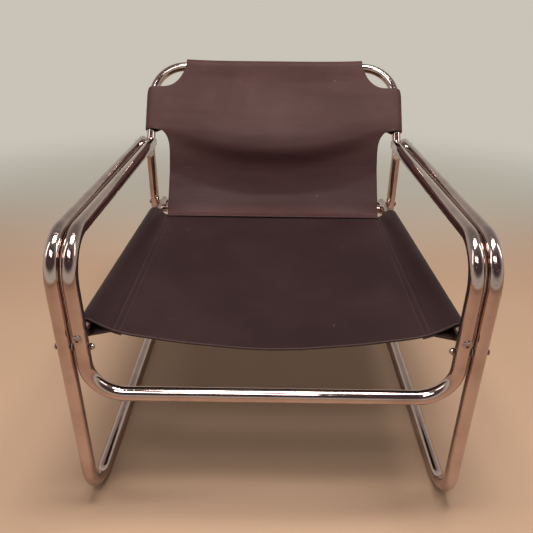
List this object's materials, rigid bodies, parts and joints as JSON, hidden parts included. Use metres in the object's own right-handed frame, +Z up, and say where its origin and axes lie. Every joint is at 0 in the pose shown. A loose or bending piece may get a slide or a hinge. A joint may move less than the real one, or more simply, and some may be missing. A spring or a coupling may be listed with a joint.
{
  "type": "cantilever lounge chair",
  "caption": "Low cantilever lounge armchair of doubled bent chromed tube, with a leaning back loop and dark brown leather slings for seat and back.",
  "frame": {"origin": "on the floor, under the middle of the bounding box of the whole chair", "axes": "+X to the right as seen from the front, +Y from the front edge to the back, +Z up from the floor"},
  "size_m": [0.702, 0.8114, 0.7054],
  "materials": {
    "chrome": "polished chrome plating on steel tube",
    "zinc": "bright plated steel fasteners, lightly satin",
    "hide": "smooth dark brown saddle leather, low sheen",
    "plastic": "matt black plastic"
  },
  "bodies": {
    "root": {"base_tube": "chrome", "front_frame_tube": "chrome", "back_tube": "chrome", "seat_rail_left": "chrome", "seat_rail_right": "chrome", "seat_crossbar": "chrome", "outer_arm_plug_left": "chrome", "outer_arm_plug_right": "chrome", "rail_plug_left": "chrome", "rail_plug_right": "chrome", "post_plug_left": "chrome", "post_plug_right": "chrome", "rail_saddle_left": "zinc", "rail_saddle_right": "zinc", "arm_saddle_left": "zinc", "arm_saddle_right": "zinc", "leg_bolt_left": "zinc", "leg_bolt_right": "zinc", "leg_nut_left": "zinc", "leg_nut_right": "zinc", "rail_screw_left": "zinc", "rail_screw_right": "zinc", "arm_bolt_left": "zinc", "arm_bolt_right": "zinc", "post_insert_left": "zinc", "post_insert_right": "zinc", "arm_washer_left": "zinc", "arm_washer_right": "zinc", "arm_screw_left": "zinc", "arm_screw_right": "zinc", "post_bolt_left": "zinc", "post_bolt_right": "zinc", "post_nut_left": "zinc", "post_nut_right": "zinc", "crossbar_screw_left": "zinc", "crossbar_screw_right": "zinc", "crossbar_plug_left": "zinc", "crossbar_plug_right": "zinc", "seat_leather": "hide", "back_leather": "hide", "leg_spacer_left": "plastic", "leg_spacer_right": "plastic", "glide_front_left": "plastic", "glide_front_right": "plastic", "glide_rear_left": "plastic", "glide_rear_right": "plastic"}
  },
  "joints": []
}
